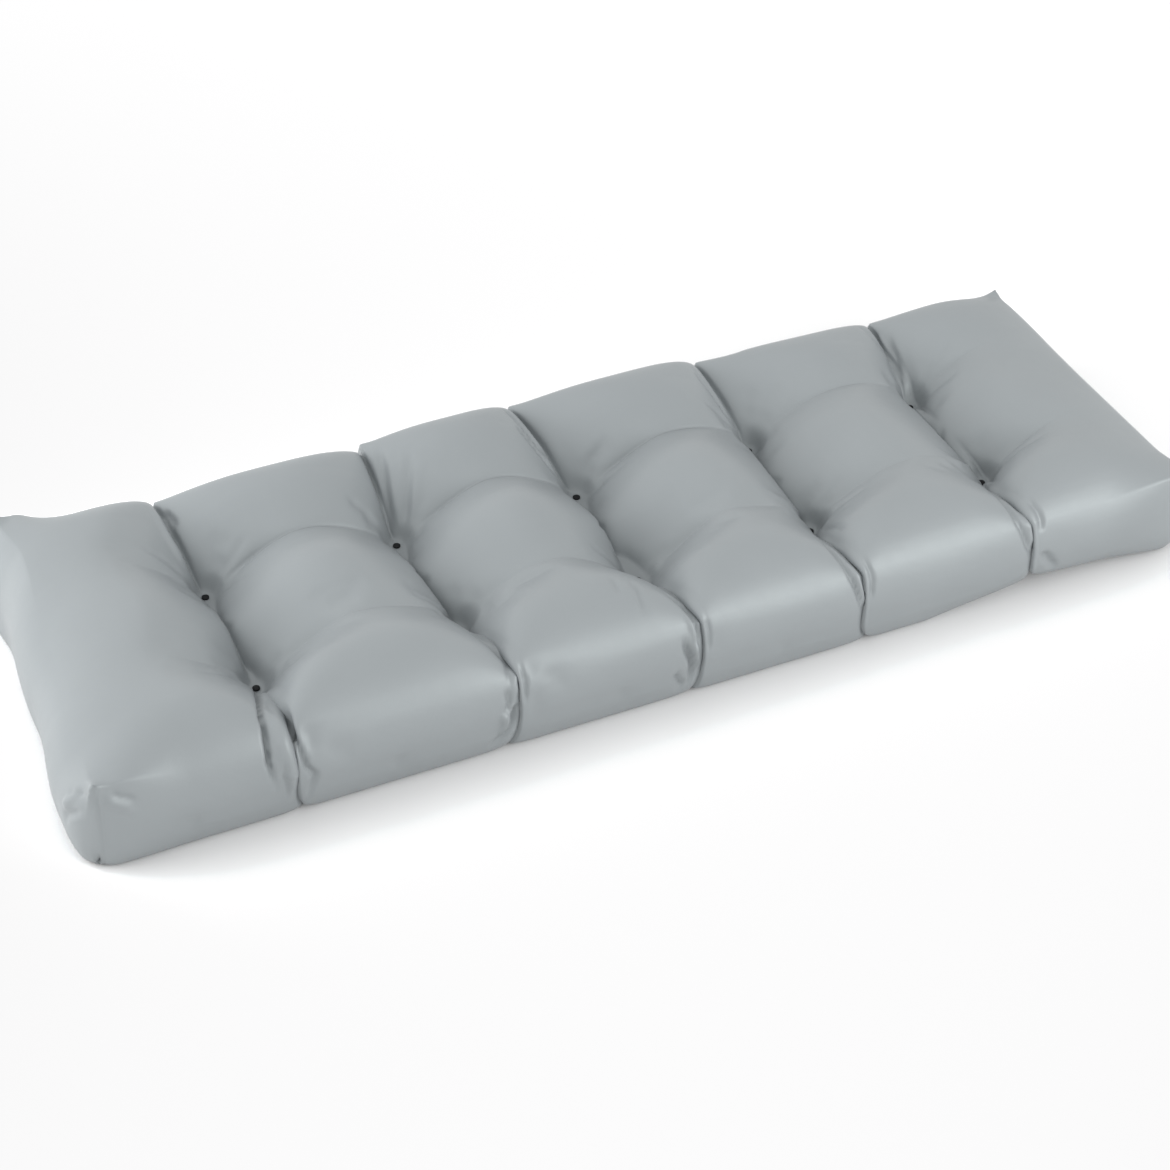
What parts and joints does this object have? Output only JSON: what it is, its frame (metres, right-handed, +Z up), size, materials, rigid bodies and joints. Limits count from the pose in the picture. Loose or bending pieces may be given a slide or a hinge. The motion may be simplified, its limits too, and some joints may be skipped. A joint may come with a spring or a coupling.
{
  "type": "tufted bench cushion",
  "caption": "Long filled bench cushion with rows of plump tufted cells, seams drawn in at rolled edges and boxed corners.",
  "frame": {"origin": "middle of the bounding box's underside, on the surface the cushion lies on", "axes": "+X along the cushion's length, +Y from the front edge to the rear edge, +Z up through its thickness"},
  "size_m": [1.5736, 0.5275, 0.17],
  "materials": {
    "cloth": "satin woven polyester",
    "button": "semi-matt"
  },
  "bodies": {
    "root": {"cushion": "cloth", "tuft_button_front_1": "button", "tuft_button_front_2": "button", "tuft_button_front_3": "button", "tuft_button_front_4": "button", "tuft_button_front_5": "button", "tuft_button_rear_1": "button", "tuft_button_rear_2": "button", "tuft_button_rear_3": "button", "tuft_button_rear_4": "button", "tuft_button_rear_5": "button"}
  },
  "joints": []
}
